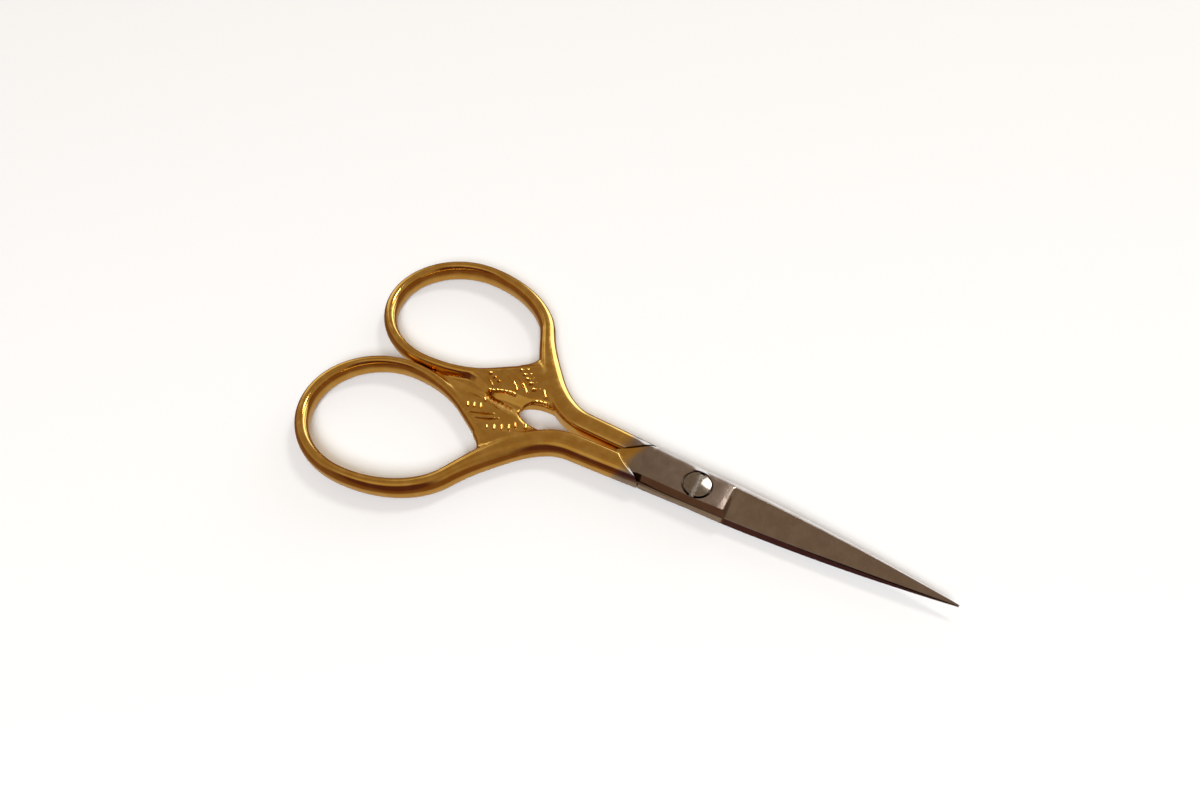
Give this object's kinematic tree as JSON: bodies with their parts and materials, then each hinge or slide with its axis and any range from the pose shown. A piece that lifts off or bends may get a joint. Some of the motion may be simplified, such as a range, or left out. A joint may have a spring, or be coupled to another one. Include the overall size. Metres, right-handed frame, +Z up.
{
  "type": "embroidery scissors",
  "caption": "Small straight scissors with slim pointed blades, a slotted pivot screw and gilded handles with egg-shaped finger bows joined by ornamented webs; opens about the screw",
  "frame": {"origin": "centre of the closed scissors' footprint, on the surface that they lie on", "axes": "+X runs from the finger bows to the blade tips, +Y points to the lower half's bow, +Z points up out of the surface, along the pivot axis"},
  "size_m": [0.1012, 0.047, 0.0039],
  "materials": {
    "gilded_steel": "forged steel, bright polished; the handle end is gilded and the gold fades out to bare steel on the pivot plate",
    "screw_steel": "turned and polished steel with a worn slot"
  },
  "bodies": {
    "lower": {"lower_half": "gilded_steel", "pivot_screw": "screw_steel"},
    "upper": {"upper_half": "gilded_steel"}
  },
  "joints": [
    {"name": "pivot", "type": "hinge", "parent": "lower", "child": "upper", "pos_m": [0.01167, 0, 0.00195], "axis": [0, 0, 1], "range_deg": [0, 130]}
  ]
}
